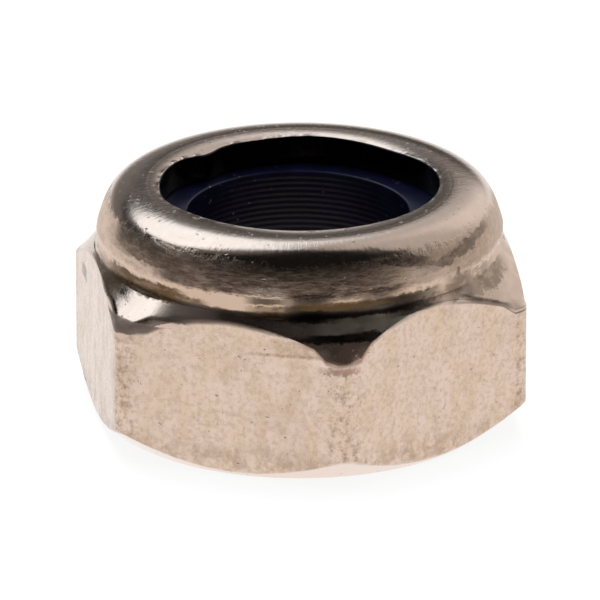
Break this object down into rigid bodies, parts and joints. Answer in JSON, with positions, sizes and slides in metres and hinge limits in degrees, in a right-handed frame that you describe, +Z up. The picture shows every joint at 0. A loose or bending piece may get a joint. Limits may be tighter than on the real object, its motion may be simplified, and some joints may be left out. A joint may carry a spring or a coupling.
{
  "type": "nylon insert lock nut",
  "caption": "Hexagon lock nut whose thin rolled collar traps a plastic ring above the thread, so that the nut grips its bolt and stays put under vibration.",
  "frame": {"origin": "centre of the bearing face, on the thread axis, at the lowest point of the nut", "axes": "+Z up the thread axis, from the bearing face to the collar; the hexagon has flats on +Y and -Y and corners on +X and -X"},
  "size_m": [0.0114, 0.01, 0.0057],
  "materials": {
    "stainless_steel": "semi-bright cold-formed stainless steel, finely pitted",
    "insert_plastic": "satin dark blue nylon with fine turning rings in its hole"
  },
  "bodies": {
    "root": {"nut_body": "stainless_steel", "nylon_insert": "insert_plastic"}
  },
  "joints": []
}
